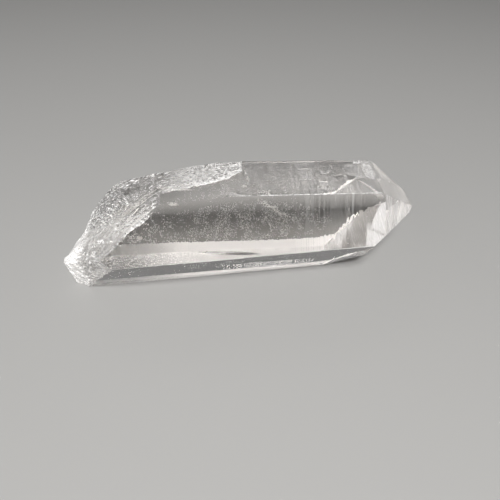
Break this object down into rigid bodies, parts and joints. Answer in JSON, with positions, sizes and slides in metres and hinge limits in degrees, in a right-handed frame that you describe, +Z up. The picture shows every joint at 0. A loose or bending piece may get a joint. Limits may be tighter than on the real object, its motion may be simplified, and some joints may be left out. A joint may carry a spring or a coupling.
{
  "type": "herkimer diamond quartz crystal",
  "caption": "Long clear quartz crystal lying on a flat side face, pointed at one end with slanting crystal faces and broken off in a rough ribbed slope at the other.",
  "frame": {"origin": "middle of the crystal's bounding box, at the flat side face it rests on", "axes": "+X along the crystal's length, towards its point; -X is the broken end; +Z up, away from the face it rests on; -Y is the side the picture is taken from"},
  "size_m": [0.0632, 0.0216, 0.0197],
  "materials": {
    "clear_quartz": "clear polished natural faces, frosted where broken"
  },
  "bodies": {
    "root": {"quartz_crystal": "clear_quartz"}
  },
  "joints": []
}
